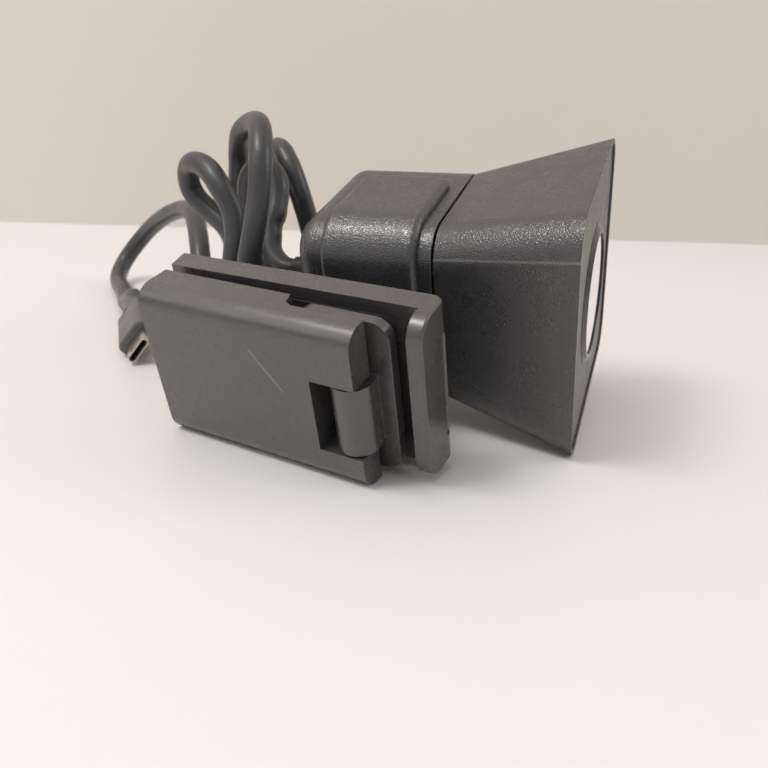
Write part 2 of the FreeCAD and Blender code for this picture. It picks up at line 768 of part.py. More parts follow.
def cradle():
    """A U-shaped band round three sides of the rear shell, with the neck of the tilt joint."""
    body = new_body("cradle")
    outer = "rear_size / 2 + cradle_wall"
    inner = "rear_size / 2 + running_gap"
    band = [
        ("-(%s)" % outer, "-(%s)" % outer),
        ("cradle_reach", "-(%s)" % outer),
        ("cradle_reach", "-(%s)" % inner),
        ("-(%s)" % inner, "-(%s)" % inner),
        ("-(%s)" % inner, inner),
        ("cradle_reach", inner),
        ("cradle_reach", outer),
        ("-(%s)" % outer, outer),
    ]
    pad(body, polygon(sketch(body, "YZ_Plane", "cradle_back"), band), "cradle_front - cradle_back")
    half = S["rear_size"] / 2
    for radius, depth in (("cradle_corner", half + S["cradle_wall"]), ("rear_corner", half + S["running_gap"])):
        round_edges(body, radius, lambda e: runs_along(e, X) and near(e.CenterOfMass.y, -depth))
    round_edges(body, "4", lambda e: runs_along(e, Z) and near(e.CenterOfMass.y, S["cradle_reach"]))

    def outer_rim(edge):
        box = edge.BoundBox
        middle = edge.CenterOfMass
        outside = max(abs(middle.y), abs(middle.z)) > half + 1
        round_end = box.YMax > S["cradle_reach"] - 4.1 and not runs_along(edge, Z)
        return outside and (round_end or near(box.XMin, box.XMax))

    round_edges(body, "cradle_round", outer_rim)

    neck = sketch(body, "XY_Plane", "clip_shift")
    drop = "-rear_size / 2 - cradle_wall / 2"
    polygon(
        neck,
        [
            ("tilt_x - tilt_barrel", drop),
            ("tilt_x - tilt_barrel", "tilt_y"),
            ("tilt_x + tilt_barrel", "tilt_y"),
            ("tilt_x + tilt_barrel", drop),
        ],
    )
    pad(body, neck, "2 * neck_half", midplane=True)
    knuckle = circle(sketch(body, "XY_Plane", "clip_shift"), ("tilt_x", "tilt_y"), "tilt_barrel")
    pad(body, knuckle, "2 * neck_half", midplane=True)
    bore = circle(sketch(body, "XY_Plane", "clip_shift"), ("tilt_x", "tilt_y"), "tilt_pin_radius + running_gap")
    pocket(body, bore, "2 * neck_half + 1", midplane=True)
    node(body, HEAD)


# ---------------------------------------------------------------- clamp: the top plate with its lip

PLATE_NEAR = "(plate_top - plate_thick)"
LIP_FACE = "(lip_front - lip_thick)"
LIP_TIP = "(plate_top - plate_thick - lip_drop)"
EAR_IN = "(neck_half + tilt_gap)"


def hinge_ear(body, place, radius, root, low, thick):
    """An ear with a round end at place, its stem as wide as the end and reaching root."""
    u, v = place
    sides = [u + " - " + radius, u + " + " + radius]
    corners = [(sides[0], v), (sides[1], v), (sides[1], root), (sides[0], root)]
    stem = polygon(sketch(body, "XY_Plane", low), corners)
    pad(body, stem, thick)
    end = sketch(body, "XY_Plane", low)
    circle(end, place, radius)
    pad(body, end, thick)


def top_plate():
    body = prism(
        "top_plate",
        [
            ("plate_back", PLATE_NEAR),
            (LIP_FACE, PLATE_NEAR),
            (LIP_FACE, LIP_TIP),
            ("lip_front", LIP_TIP),
            ("lip_front", "plate_top"),
            ("plate_back - 1.2", "plate_top"),
        ],
        "clip_width",
    )
    tip = S["plate_top"] - S["plate_thick"] - S["lip_drop"]
    half = S["clip_width"] / 2
    round_edges(body, "lip_round", lambda e: runs_along(e, Z) and near(e.CenterOfMass.x, S["lip_front"])
                and near(e.CenterOfMass.y, S["plate_top"]))
    round_edges(body, "5", lambda e: runs_along(e, X) and near(e.CenterOfMass.y, tip)
                and near(abs(e.CenterOfMass.z), half))
    round_edges(body, "0.5", lambda e: near(e.BoundBox.YMin, S["plate_top"], 3.3)
                and near(abs(e.CenterOfMass.z), half) and not runs_along(e, Y, 0.9))
    for low in (EAR_IN, "-%s - ear_thick" % EAR_IN):
        hinge_ear(body, ("0", "0"), "tilt_barrel", "plate_top - 0.5", low, "ear_thick")
    hinge = ("leg_hinge_u", "leg_hinge_v")
    for low in ("leg_lug_in", "-leg_lug_in - leg_lug_thick"):
        hinge_ear(body, hinge, "leg_lug_radius", PLATE_NEAR + " + 0.5", low, "leg_lug_thick")
    pin_holes = sketch(body, "XY_Plane")
    circle(pin_holes, ("0", "0"), "tilt_pin_radius + 0.02")
    circle(pin_holes, hinge, "leg_pin_radius + 0.02")
    pocket(body, pin_holes, "clip_width + 1", midplane=True)
    seat = sketch(body, "XZ_Plane", "-" + PLATE_NEAR)
    rounded(seat, "42", "clip_width - 6", "3", ("-6", "0"))
    pocket(body, seat, "0.5", backward=True)
    grip = sketch(body, "YZ_Plane", LIP_FACE)
    rounded(grip, "lip_drop - 1.4", "clip_width - 5", "2", (PLATE_NEAR + " - lip_drop / 2", "0"))
    pocket(body, grip, "0.4")
    inset = sketch(body, "YZ_Plane", "lip_front")
    polygon(
        inset,
        [
            ("plate_top - 3.4", "-12.4"),
            ("plate_top + 1", "-12.4"),
            ("plate_top + 1", "12.4"),
            ("plate_top - 3.4", "12.4"),
        ],
    )
    pocket(body, inset, "0.9", backward=True)
    node(body, CLAMP)


def clamp_trim():
    """The rubber pads, the inset on the lip's outer face, the two pins and their washers."""
    seat = new_body("plate_pad")
    outline = sketch(seat, "XZ_Plane", "-" + PLATE_NEAR + " - 0.5")
    rounded(outline, "42 - 0.1", "clip_width - 6.1", "3 - 0.05", ("-6", "0"))
    pad(seat, outline, "0.8")
    node(seat, CLAMP)
    grip = new_body("lip_pad")
    outline = sketch(grip, "YZ_Plane", LIP_FACE + " + 0.4")
    rounded(outline, "lip_drop - 1.5", "clip_width - 5.1", "2 - 0.05", (PLATE_NEAR + " - lip_drop / 2", "0"))
    pad(grip, outline, "pad_thick", backward=True)
    node(grip, CLAMP)
    cover = block("cover_blank", ("0.7", "2.6", "23.4"), ("lip_front - 0.55", "plate_top - 2.05", "0"))
    trim = rod("cover_trim", "3", "30", ("lip_front - 3.3", "plate_top - 3.3", "-15"))
    corner = doc.addObject("Part::Common", "lip_cover")
    keep = block("cover_keep", ("4", "3.3", "30"), ("lip_front - 2.1", "plate_top - 3.3", "0"))
    corner.Base = cover
    corner.Tool = fuse("cover_shape", [trim, keep])
    node(corner, CLAMP)
    pin_half = "(%s + ear_thick - 0.2)" % EAR_IN
    pin = rod("pin_rod", "tilt_pin_radius", "2 * " + pin_half, ("0", "0", "-" + pin_half))
    slot = block("pin_slot", ("3", "0.6", "0.8"), ("0", "0", pin_half))
    node(cut("tilt_pin", pin, [slot]), CLAMP)
    rings = [
        tube("tilt_ring_" + side, "3.7", "tilt_pin_radius + 0.1", "tilt_gap - 0.1", ("0", "0", low))
        for side, low in (("high", "neck_half + 0.05"), ("low", "-neck_half - tilt_gap + 0.05"))
    ]
    node(group("tilt_washers", rings), CLAMP)
    hinge = ("leg_hinge_u", "leg_hinge_v")
    reach = "(leg_lug_in + leg_lug_thick - 0.1)"
    node(group("leg_pin", [rod("leg_pin_rod", "leg_pin_radius", "2 * " + reach, (*hinge, "-" + reach))]), CLAMP)
    rings = [
        tube("leg_ring_high", "2.4", "leg_pin_radius + 0.1", "0.4", (*hinge, "leg_lug_in - 0.45")),
        tube("leg_ring_low", "2.4", "leg_pin_radius + 0.1", "0.4", (*hinge, "-leg_lug_in + 0.05")),
    ]
    node(group("leg_washers", rings), CLAMP)


# ---------------------------------------------------------------- leg


def leg_shell():
    """The thick hollow leg, forked at its free end for the foot's knuckle."""
    body = prism(
        "leg_shell",
        [
            ("leg_back", "leg_outer"),
            ("leg_front", "leg_outer"),
            ("leg_front", "leg_inner"),
            ("leg_back", "leg_inner"),
        ],
        "clip_width",
    )
    round_edges(body, "leg_round", lambda e: runs_along(e, X) and near(e.CenterOfMass.y, S["leg_outer"]))
    notch = sketch(body, "XY_Plane")
    floor = "leg_inner - notch_depth"
    polygon(
        notch,
        [
            ("notch_start", "leg_inner + 1"),
            ("notch_start", "leg_inner"),
            ("notch_start + 0.9", "leg_inner - notch_depth * 0.75"),
            ("notch_start + 2.6", floor),
            ("leg_front + 1", floor),
            ("leg_front + 1", "leg_inner + 1"),
        ],
    )
    pocket(body, notch, "clip_width + 1", midplane=True)
    slot = sketch(body, "XY_Plane", "slot_bottom")
    polygon(
        slot,
        [
            ("slot_back", "leg_outer - 1"),
            ("leg_front + 1", "leg_outer - 1"),
            ("leg_front + 1", "leg_inner + 1"),
            ("slot_back", "leg_inner + 1"),
        ],
    )
    pocket(body, slot, "slot_top - slot_bottom")
    hollow = sketch(body, "XY_Plane")
    polygon(
        hollow,
        [
            ("leg_hollow_start", "leg_outer + leg_wall"),
            ("leg_hollow_end", "leg_outer + leg_wall"),
            ("leg_hollow_end", "leg_inner + 1"),
            ("leg_hollow_start", "leg_inner + 1"),
        ],
    )
    pocket(body, hollow, "clip_width - 6", midplane=True)
    for low_side in ("leg_lug_in - 0.5", "-leg_lug_in - leg_lug_thick - 0.3"):
        room = sketch(body, "XY_Plane", low_side)
        polygon(
            room,
            [
                ("leg_back - 1", "-4.3"),
                ("leg_lug_radius + 0.5", "-4.3"),
                ("leg_lug_radius + 0.5", "leg_inner + 1"),
                ("leg_back - 1", "leg_inner + 1"),
            ],
        )
        pocket(body, room, "leg_lug_thick + 0.8")
    bores = sketch(body, "XY_Plane")
    circle(bores, ("0", "0"), "leg_pin_radius + running_gap")
    pocket(body, bores, "2 * (leg_lug_in + leg_lug_thick)", midplane=True)
    foot_bore = sketch(body, "XY_Plane")
    circle(foot_bore, ("foot_hinge_p", "foot_hinge_q"), "foot_pin_radius + 0.02")
    pocket(body, foot_bore, "clip_width - 3", midplane=True)
    columns = sketch(body, "XZ_Plane", "-leg_outer - 1")
    for p in LEG_SCREWS:
        circle(columns, (p, "0"), "2.4")
    pad(body, columns, "leg_inner - leg_outer - 2.55", backward=True)
    taps = sketch(body, "XZ_Plane", "-leg_inner")
    for p in LEG_SCREWS:
        circle(taps, (p, "0"), "0.85")
    pocket(body, taps, "6")
    node(body, LEG)


LEG_SCREWS = ("leg_hollow_start + 5", "leg_hollow_end - 5")


def leg_parts():
    """The cover over the leg's hollow, its screws, and the pin and washers of the foot."""
    cover = new_body("leg_cover")
    outline = sketch(cover, "XZ_Plane", "-leg_inner + 0.1")
    middle = "(leg_hollow_start + leg_hollow_end) / 2"
    rounded(outline, "leg_hollow_end - leg_hollow_start - 0.2", "clip_width - 6.2", "0.5", (middle, "0"))
    for p in LEG_SCREWS:
        circle(outline, (p, "0"), "1")
    pad(cover, outline, "1.4")
    sinks = sketch(cover, "XZ_Plane", "-leg_inner + 0.1")
    for p in LEG_SCREWS:
        circle(sinks, (p, "0"), "1.8")
    pocket(cover, sinks, "0.8")
    node(cover, LEG)
    screws = []
    for i, p in enumerate(LEG_SCREWS):
        place = (p, "leg_inner - 0.9", "0")
        head = rod("cover_screw_head_%d" % i, "1.7", "0.75", place, ALONG_Y)
        shank = rod("cover_screw_shank_%d" % i, "0.8", "5.6", (p, "leg_inner - 5.8", "0"), ALONG_Y)
        cross = block("cover_screw_cross_%d" % i, ("2", "0.9", "0.45"), (p, "leg_inner - 0.15", "0"))
        screws.append(cut("cover_screw_%d" % i, fuse("cover_screw_blank_%d" % i, [head, shank]), [cross]))
    node(group("leg_cover_screws", screws), LEG)
    hinge = ("foot_hinge_p", "foot_hinge_q")
    reach = "(clip_width / 2 - 1.6)"
    pin = rod("foot_pin_rod", "foot_pin_radius", "2 * " + reach, (*hinge, "-" + reach))
    node(group("foot_pin", [pin]), LEG)
    rings = [
        tube("foot_ring_high", "2.6", "foot_pin_radius + 0.1", "0.4", (*hinge, "slot_top - 0.45")),
        tube("foot_ring_low", "2.6", "foot_pin_radius + 0.1", "0.4", (*hinge, "slot_bottom + 0.05")),
    ]
    node(group("foot_washers", rings), LEG)


# ---------------------------------------------------------------- foot


def foot_plate():
    """The pad plate that presses on the back of a screen, with the knuckle it turns on."""
    body = new_body("foot_plate")
    outline = sketch(body, "XZ_Plane", "-foot_low")
    middle = "(foot_back + foot_front) / 2"
    rounded(outline, "foot_front - foot_back", "2 * foot_half", "foot_corner", (middle, "0"))
    pad(body, outline, "foot_thick", backward=True)
    low = "slot_bottom + 0.5"
    length = "slot_top - slot_bottom - 1"
    web = sketch(body, "XY_Plane", low)
    polygon(
        web,
        [
            ("-knuckle_radius", "0"),
            ("knuckle_radius - 0.5", "0"),
            ("knuckle_radius - 0.5", "foot_low + 0.2"),
            ("-knuckle_radius", "foot_low + 0.2"),
        ],
    )
    pad(body, web, length)
    barrel = sketch(body, "XY_Plane", low)
    circle(barrel, ("0", "0"), "knuckle_radius")
    pad(body, barrel, length)
    bore = sketch(body, "XY_Plane")
    circle(bore, ("0", "0"), "foot_pin_radius + running_gap")
    pocket(body, bore, "clip_width", midplane=True)
    node(body, FOOT)
    rubber = new_body("foot_pad")
    outline = sketch(rubber, "XZ_Plane", "-foot_low - foot_thick")
    rounded(outline, "foot_front - foot_back - 2", "2 * foot_half - 2", "foot_corner - 1", (middle, "0"))
    pad(rubber, outline, "pad_thick", backward=True)
    node(rubber, FOOT)


def lying_box(shapes):
    """The box round finely meshed shapes, as its lowest and highest corners."""
    low, high = [1e9] * 3, [-1e9] * 3
    for shape in shapes:
        for point in shape.tessellate(0.05)[0]:
            low = [min(a, b) for a, b in zip(low, point)]
            high = [max(a, b) for a, b in zip(high, point)]
    return V(*low), V(*high)


def stand_at_origin():
    """Shift every piece so that the middle of the box round them all stands on the origin."""
    low, high = lying_box([thing.Shape for thing in nodes])
    shift = V(-(low.x + high.x) / 2, -(low.y + high.y) / 2, -low.z)
    for thing in nodes:
        thing.Placement = FreeCAD.Placement(shift, FreeCAD.Rotation()).multiply(thing.Placement)


def main():
    make_sheet()
    front_shell()
    front_fascia()
    lens_window()
    lens_unit()
    boards()
    microphones()
    rear_shell()
    rear_cap()
    shell_screws()
    strain_relief()
    cable()
    plug()
    cradle()
    top_plate()
    clamp_trim()
    leg_shell()
    leg_parts()
    foot_plate()
    doc.recompute()
    stand_at_origin()
    os.makedirs("parts", exist_ok=True)
    for thing in nodes:
        bad = [s for s in thing.State if s in ("Invalid", "Error")]
        if bad or thing.Shape.isNull() or not thing.Shape.isValid():
            raise ValueError("%s did not build: %s" % (thing.Label, bad))
    for thing in nodes:
        thing.Shape.exportStep("parts/%s.step" % thing.Label)


main()
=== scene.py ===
"""The look of a webcam lying on its side: materials, table, wall, light and camera, in metres."""
import json
import math

import bpy
from mathutils import Matrix, Vector


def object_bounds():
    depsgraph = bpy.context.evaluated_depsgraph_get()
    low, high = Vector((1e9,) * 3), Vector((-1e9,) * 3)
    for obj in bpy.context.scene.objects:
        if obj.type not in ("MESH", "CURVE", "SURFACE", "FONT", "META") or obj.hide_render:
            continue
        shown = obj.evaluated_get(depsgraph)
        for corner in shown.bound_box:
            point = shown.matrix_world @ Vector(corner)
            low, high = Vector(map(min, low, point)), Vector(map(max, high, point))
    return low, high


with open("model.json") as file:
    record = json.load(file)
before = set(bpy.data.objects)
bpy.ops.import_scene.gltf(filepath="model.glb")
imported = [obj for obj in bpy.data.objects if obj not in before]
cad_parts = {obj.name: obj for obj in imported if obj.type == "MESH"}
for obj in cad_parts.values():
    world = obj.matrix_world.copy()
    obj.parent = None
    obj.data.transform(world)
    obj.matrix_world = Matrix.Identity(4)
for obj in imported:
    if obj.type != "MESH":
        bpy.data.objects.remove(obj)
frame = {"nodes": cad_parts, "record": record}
cad_low, cad_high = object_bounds()
joints = {joint["name"]: joint for joint in frame["record"]["behaviour"]["joints"]}

MM = 0.001
PER_METRE = 1000.0

# ---------------------------------------------------------------- the axes of the head and the leg

# How the head leans as it rests on the table
ROLL = math.radians(13.83)
PITCH = math.radians(2.38)
TURN = Matrix.Rotation(-PITCH, 3, "Y") @ Matrix.Rotation(ROLL, 3, "X")
# The tilt joint seen from the centre of the head's front rim, in the head's axes
TILT_PLACE = Vector((-46.0, -30.0, -1.05)) * MM
RIM = Vector(joints["head_tilt"]["pos_m"]) - TURN @ TILT_PLACE
# How far the clip is turned on the head, and the folded leg on the clip
CLIP_TURN = math.radians(-8.55)
LEG_FOLD = math.radians(-1.3)
LEG_TURN = TURN @ Matrix.Rotation(CLIP_TURN + LEG_FOLD, 3, "Z")
LEG_HINGE = Vector(joints["leg_swing"]["pos_m"])


def from_head(x, y, z):
    """A point given in millimetres along the head's axes."""
    return RIM + TURN @ (Vector((x, y, z)) * MM)


def from_leg(p, q, w):
    """A point given in millimetres along the leg's axes, from its hinge."""
    return LEG_HINGE + LEG_TURN @ (Vector((p, q, w)) * MM)


# ---------------------------------------------------------------- shader helpers


def with_alpha(source):
    """The same source, with an alpha of 1 added where it is a plain colour."""
    if isinstance(source, (tuple, list)) and len(source) == 3:
        return (*source, 1.0)
    return source


class Shader:
    """A node material under construction; place is the point on the object in millimetres."""

    def __init__(self, name):
        self.material = bpy.data.materials.new(name)
        self.material.use_nodes = True
        self.tree = self.material.node_tree
        self.tree.nodes.clear()
        self.out = self.add("ShaderNodeOutputMaterial")
        self.bsdf = self.add("ShaderNodeBsdfPrincipled")
        self.link(self.bsdf.outputs[0], self.out.inputs["Surface"])
        place = self.add("ShaderNodeTexCoord").outputs["Object"]
        self.place = self.vector("SCALE", place, Scale=PER_METRE)

    def link(self, a, b):
        self.tree.links.new(a, b)

    def feed(self, socket, source):
        """Link or write a source into a socket, whichever it is."""
        if isinstance(source, bpy.types.NodeSocket):
            self.link(source, socket)
        else:
            socket.default_value = source

    def add(self, kind, settings=(), **sources):
        """A new node with its settings, and its inputs fed by name."""
        thing = self.tree.nodes.new(kind)
        for prop, setting in dict(settings).items():
            setattr(thing, prop, setting)
        for word, source in sources.items():
            self.feed(thing.inputs[word.replace("_", " ")], source)
        return thing

    def number(self, operation, *sources, clamp=False):
        """A sum with numbers."""
        thing = self.add("ShaderNodeMath", {"operation": operation, "use_clamp": clamp})
        for socket, source in zip(thing.inputs, sources):
            self.feed(socket, source)
        return thing.outputs[0]

    def vector(self, operation, *sources, **named):
        """A sum with vectors."""
        thing = self.add("ShaderNodeVectorMath", {"operation": operation})
        for socket, source in zip(thing.inputs, sources):
            self.feed(socket, source)
        for word, source in named.items():
            self.feed(thing.inputs[word], source)
        gives_number = operation in ("DOT_PRODUCT", "DISTANCE")
        return thing.outputs["Value" if gives_number else "Vector"]

    def noise(self, per_mm, detail=2.0, roughness=0.5, place=None):
        """Cloudy noise, with about so many changes in a millimetre."""
        thing = self.add("ShaderNodeTexNoise", Scale=per_mm, Detail=detail, Roughness=roughness)
        self.link(place or self.place, thing.inputs["Vector"])
        return thing.outputs[0]

    def cells(self, per_mm, feature, place=None):
        """A pattern of irregular cells, about so many in a millimetre."""
        thing = self.add("ShaderNodeTexVoronoi", {"feature": feature}, Scale=per_mm)
        self.link(place or self.place, thing.inputs["Vector"])
        return thing

    def spread(self, source, low, high, to_low=0.0, to_high=1.0):
        """A smooth step from one value to another while the source goes from low to high."""
        thing = self.add("ShaderNodeMapRange", {"clamp": True, "interpolation_type": "SMOOTHSTEP"})
        for socket, value in zip(thing.inputs[:5], (source, low, high, to_low, to_high)):
            self.feed(socket, value)
        return thing.outputs[0]

    def mix(self, share, a, b):
        """A share of colour b over colour a."""
        thing = self.add("ShaderNodeMix", {"data_type": "RGBA"})
        for index, source in ((0, share), (6, a), (7, b)):
            self.feed(thing.inputs[index], with_alpha(source))
        return thing.outputs[2]

    def bump(self, height, depth_mm, strength=1.0, **sources):
        """The normal of a relief of this height pattern and depth."""
        depth = depth_mm * MM
        relief = self.add("ShaderNodeBump", Strength=strength, Distance=depth, Height=height, **sources)
        return relief.outputs[0]

    def blend(self, share, first, second):
        """A mix of two surfaces."""
        both = self.add("ShaderNodeMixShader", Fac=share)
        self.link(first, both.inputs[1])
        self.link(second, both.inputs[2])
        return both.outputs[0]

    def set(self, **sources):
        """Feed the inputs of the main surface."""
        for word, source in sources.items():
            self.feed(self.bsdf.inputs[word.replace("_", " ")], with_alpha(source))

    def finish(self, surface):
        """Use another surface than the main one."""
        self.link(surface, self.out.inputs["Surface"])


def lighter(colour, factor):
    """A colour times a factor, never over white."""
    return tuple(min(1.0, c * factor) for c in colour)


def worn_edges(s, radius_mm):
    """The rounded normal of hard edges, and how near each point is to such an edge."""
    bevel = s.add("ShaderNodeBevel", {"samples": 4}, Radius=radius_mm * MM).outputs[0]
    flat = s.add("ShaderNodeNewGeometry").outputs["Normal"]
    bend = s.number("SUBTRACT", 1.0, s.vector("DOT_PRODUCT", bevel, flat))
    return bevel, s.spread(bend, 0.01, 0.12)


def scratch_mask(s, start, end, width_mm):
    """1 on a thin line between two points of the object, fading to 0 beside it and beyond its ends."""
    run = (end - start) * PER_METRE
    start = start * PER_METRE
    away = s.vector("SUBTRACT", s.place, tuple(start))
    along = s.number("DIVIDE", s.vector("DOT_PRODUCT", away, tuple(run)), run.length_squared, clamp=True)
    nearest = s.vector("SCALE", tuple(run), Scale=along)
    gap = s.vector("DISTANCE", away, nearest)
    return s.spread(gap, width_mm * 0.3, width_mm, 1.0, 0.0)


EDGE_ROUND = 0.25
DUST = (0.55, 0.53, 0.5)


def leather_height(s, fine, grain_mm):
    """The height of a pebbled grain: swollen irregular cells with a fine grain over them."""
    sway = s.add("ShaderNodeTexNoise", Scale=1.4).outputs[1]
    bent = s.vector("ADD", s.place, s.vector("SCALE", sway, Scale=0.5))
    cell = s.cells(1.0 / grain_mm, "DISTANCE_TO_EDGE", place=bent).outputs[0]
    return s.number("ADD", s.spread(cell, 0.0, 0.28), s.number("MULTIPLY", fine, 0.35))


def plain_height(s, fine, grain_mm):
    """The height of a spark-eroded skin: a fine grain over a slower one."""
    slow = s.noise(0.25 / grain_mm, 3.0)
    return s.number("ADD", fine, s.number("MULTIPLY", slow, 0.4))


def moulded(name, colour, roughness, grain_mm, depth_mm, leather=False, wear=0.35, dust=0.0):
    """Moulded plastic: its texture, slow changes of tone, smudges in its sheen and paler worn edges."""
    s = Shader(name)
    edge_normal, edge = worn_edges(s, EDGE_ROUND)
    tone = s.noise(0.07, 3.0)
    fine = s.noise(0.9 / grain_mm, 2.0)
    smudge = s.spread(s.noise(0.16, 4.0, 0.6), 0.42, 0.62)
    body = s.mix(tone, lighter(colour, 0.86), lighter(colour, 1.16))
    body = s.mix(s.number("MULTIPLY", fine, 0.06), body, lighter(colour, 1.45))
    height = leather_height(s, fine, grain_mm) if leather else plain_height(s, fine, grain_mm)
    patch = s.number("MULTIPLY", edge, s.spread(s.noise(0.5, 3.0), 0.45, 0.75))
    body = s.mix(s.number("MULTIPLY", patch, wear), body, lighter(colour, 2.6))
    if dust:
        speck = s.cells(0.22, "F1")
        dot = s.spread(speck.outputs[0], 0.012, 0.03, dust, 0.0)
        body = s.mix(dot, body, DUST)
    sheen = s.number("ADD", roughness - 0.05, s.number("MULTIPLY", smudge, 0.09))
    s.set(Base_Color=body, Roughness=sheen, Normal=s.bump(height, depth_mm, Normal=edge_normal))
    return s, body


METAL_EDGE_ROUND = 0.12


def metal(name, colour, roughness, streak):
    """Ground or plated metal; its marks are drawn out along the axes with the smaller streak values."""
    s = Shader(name)
    edge_normal, edge = worn_edges(s, METAL_EDGE_ROUND)
    lines = s.noise(4.0, 3.0, place=s.vector("MULTIPLY", s.place, streak))
    tone = s.noise(0.3, 3.0)
    body = s.mix(tone, lighter(colour, 0.85), lighter(colour, 1.1))
    body = s.mix(s.number("MULTIPLY", edge, 0.4), body, lighter(colour, 1.4))
    sheen = s.number("ADD", roughness - 0.06, s.number("MULTIPLY", lines, 0.14))
    relief = s.bump(lines, 0.01, strength=0.6, Normal=edge_normal)
    s.set(Base_Color=body, Metallic=1.0, Roughness=sheen, Normal=relief)
    return s


def clear_glass(name, tint, see_through=0.55):
    """Thin coated glass: clear straight on, a mirror at a glancing angle, with faint smears."""
    s = Shader(name)
    smear = s.spread(s.noise(0.12, 4.0, 0.65), 0.4, 0.7)
    mirror = s.add("ShaderNodeBsdfGlossy", Color=with_alpha(WHITE))
    s.feed(mirror.inputs["Roughness"], s.number("ADD", 0.02, s.number("MULTIPLY", smear, 0.05)))
    opening = s.add("ShaderNodeBsdfTransparent", Color=with_alpha(tint))
    s.set(Base_Color=s.mix(smear, lighter(tint, 0.2), lighter(tint, 0.3)), Roughness=0.08)
    body = s.blend(see_through, s.bsdf.outputs[0], opening.outputs[0])
    facing = s.add("ShaderNodeLayerWeight", Blend=0.5).outputs["Facing"]
    glance = s.number("MULTIPLY_ADD", s.number("POWER", facing, 0.7), 0.94, 0.06)
    s.finish(s.blend(glance, body, mirror.outputs[0]))
    return s


# ---------------------------------------------------------------- materials

WHITE = (1.0, 1.0, 1.0)
CHARCOAL = (0.036, 0.035, 0.037)
GRAPHITE = (0.05, 0.046, 0.047)
RUBBER = (0.022, 0.022, 0.023)
JACKET = (0.046, 0.046, 0.049)
FASCIA = (0.16, 0.155, 0.142)
PALE_FLECK = (0.62, 0.6, 0.55)
DARK_FLECK = (0.03, 0.03, 0.03)
# Painted highlight: the pale colour drawn along the crease of the head's flare
CREASE_HIGHLIGHT = (0.3, 0.29, 0.27)
SCRATCH = (0.42, 0.38, 0.35)

# Colour, roughness, size of the grain and its depth in millimetres
PLASTICS = {
    "ring_plastic": ((0.02, 0.02, 0.021), 0.22, 0.2, 0.004),
    "inner_plastic": ((0.01, 0.01, 0.01), 0.7, 0.3, 0.02),
    "connector_plastic": ((0.6, 0.55, 0.43), 0.5, 0.4, 0.01),
    "thermal": ((0.3, 0.34, 0.42), 0.75, 0.6, 0.04),
    "black_rubber": (RUBBER, 0.78, 0.3, 0.05),
    "lip_trim": ((0.15, 0.148, 0.146), 0.3, 0.25, 0.008),
    "washer_nylon": ((0.55, 0.54, 0.48), 0.45, 0.4, 0.01),
    "plug_plastic": ((0.012, 0.012, 0.012), 0.5, 0.3, 0.01),
    "plug_grip": ((0.115, 0.113, 0.105), 0.4, 0.3, 0.012),
    "light_pipe": ((0.75, 0.75, 0.72), 0.35, 0.3, 0.01),
}
# Colour, roughness, and how densely the marks lie along each axis
METALS = {
    "lens_metal": ((0.06, 0.06, 0.063), 0.35, (1, 6, 6)),
    "tin": ((0.62, 0.61, 0.58), 0.35, (1, 4, 4)),
    "spreader": ((0.72, 0.72, 0.73), 0.33, (8, 1, 8)),
    "brass_post": ((0.78, 0.58, 0.26), 0.28, (6, 1, 1)),
    "mic_metal": ((0.66, 0.63, 0.55), 0.32, (1, 1, 1)),
    "screw_steel": ((0.05, 0.05, 0.052), 0.4, (1, 1, 1)),
    "pin_steel": ((0.5, 0.5, 0.51), 0.3, (1, 1, 8)),
    "plug_steel": ((0.62, 0.6, 0.57), 0.24, (6, 1, 1)),
}


def head_plastic():
    """The head's charcoal plastic, with a leather grain and a pale line of painted highlight along the
    crease of the flare.
    """
    s, body = moulded("head_plastic", CHARCOAL, 0.31, 0.55, 0.035, leather=True, wear=0.2, dust=0.15)
    # The crease runs from the seam to the rim, where the rounded corner meets the flat side; a pale line
    # of painted highlight is drawn along it, for the light its sharp bend catches
    crease_highlight = scratch_mask(s, from_head(-31.2, -21.4, 16.6), from_head(0, -28.4, 21.6), 0.45)
    body = s.mix(s.number("MULTIPLY", crease_highlight, 0.35), body, CREASE_HIGHLIGHT)
    s.set(Base_Color=body, Specular_IOR_Level=1.0)
    return s


def clip_plastic():
    """The clip's satin graphite plastic, with one light scratch across the leg's outer face."""
    s, body = moulded("clip_plastic", GRAPHITE, 0.3, 0.4, 0.001, wear=0.3, dust=0.15)
    scratch = scratch_mask(s, from_leg(25.0, -7.5, 10.5), from_leg(31.9, -7.5, 2.1), 0.17)
    body = s.mix(s.number("MULTIPLY", scratch, 0.75), body, SCRATCH)
    s.set(Base_Color=body, Specular_IOR_Level=0.8, Coat_Weight=0.4, Coat_Roughness=0.34)
    return s


def speckled():
    """The fascia: pale grey-beige plastic, thick with light and dark flecks."""
    s, body = moulded("fascia_plastic", FASCIA, 0.55, 0.3, 0.02, wear=0.1)
    fleck = s.cells(1.3, "F1")
    near_middle = s.spread(fleck.outputs["Distance"], 0.12, 0.3, 1.0, 0.0)
    pick = s.add("ShaderNodeSeparateColor", Color=fleck.outputs["Color"])
    pale = s.number("MULTIPLY", near_middle, s.spread(pick.outputs[0], 0.5, 0.54))
    dark = s.number("MULTIPLY", near_middle, s.spread(pick.outputs[1], 0.6, 0.64))
    s.set(Base_Color=s.mix(dark, s.mix(pale, body, PALE_FLECK), DARK_FLECK))
    return s


def jacket():
    """The cable's jacket: satin rubber with a fine skin and a little dust."""
    return moulded("cable_jacket", JACKET, 0.36, 0.35, 0.012, wear=0.0, dust=0.25)[0]


